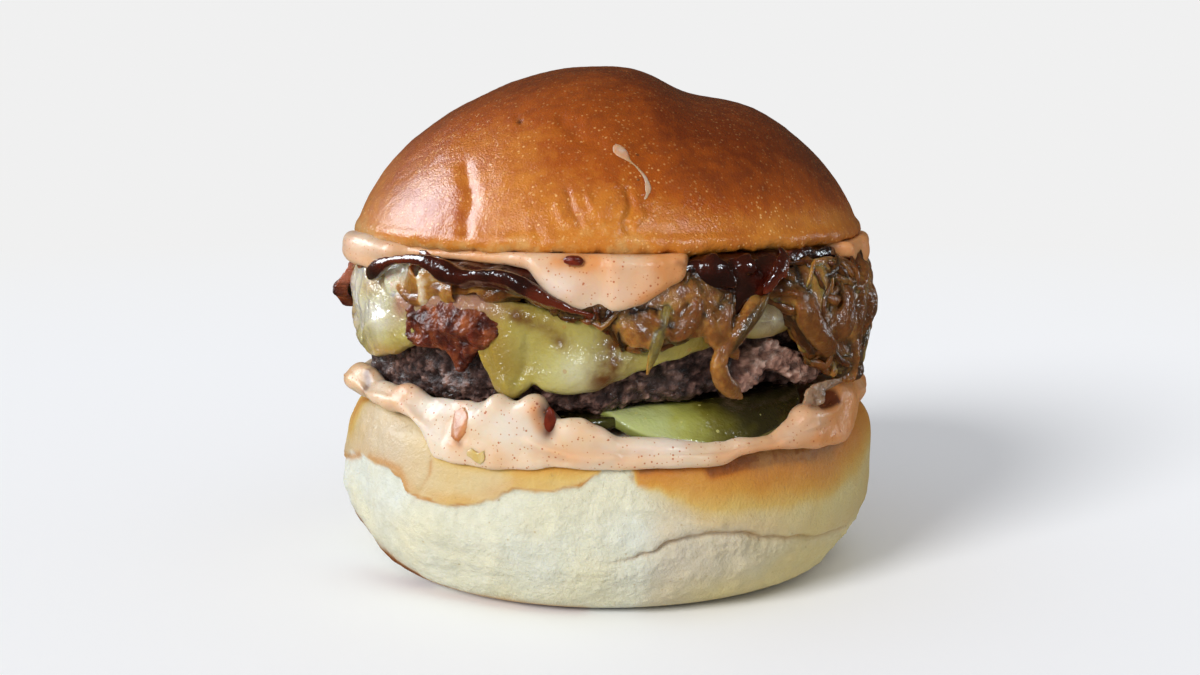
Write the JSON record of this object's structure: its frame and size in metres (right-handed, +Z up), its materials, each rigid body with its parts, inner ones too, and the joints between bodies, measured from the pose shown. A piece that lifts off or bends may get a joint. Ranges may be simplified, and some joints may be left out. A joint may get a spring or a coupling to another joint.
{
  "type": "hamburger",
  "caption": "Hamburger in a brioche bun with a beef patty, melted cheese, bacon, fried onions, barbecue glaze, pickle slices and pink sauce.",
  "frame": {"origin": "bottom centre of the bounding box, on the flat base of the bottom bun", "axes": "+Z up through the layers, the front of the picture is -Y, +X to its right"},
  "size_m": [0.1095, 0.1079, 0.0971],
  "materials": {
    "bun_crumb": "soft pale bread with a golden skin, matt",
    "bun_crust": "egg-washed brioche crust, satin to glossy",
    "pink_sauce": "creamy pink sauce with specks, smooth and wet",
    "pickle": "pickled cucumber slice, wet and translucent",
    "beef": "seared minced beef, crumbly with wet highlights",
    "cheese": "melted cheese, smooth with soft highlights",
    "bacon": "fried bacon, uneven and oily",
    "fried_onion": "soft browned onion, glossy and translucent",
    "glaze": "thick dark red barbecue glaze, very glossy",
    "red_piece": "soft red vegetable piece, wet",
    "brown_piece": "orange-brown soft piece, wet"
  },
  "bodies": {
    "root": {"bottom_bun": "bun_crumb", "lower_sauce": "pink_sauce", "pickle_front": "pickle", "pickle_under": "pickle", "patty": "beef", "cheese": "cheese", "bacon_front": "bacon", "bacon_left": "bacon", "onion_heap": "fried_onion", "barbecue_glaze": "glaze", "upper_sauce": "pink_sauce", "top_bun": "bun_crust", "red_piece": "red_piece", "brown_piece": "brown_piece", "end_piece": "red_piece", "top_piece": "red_piece"}
  },
  "joints": []
}
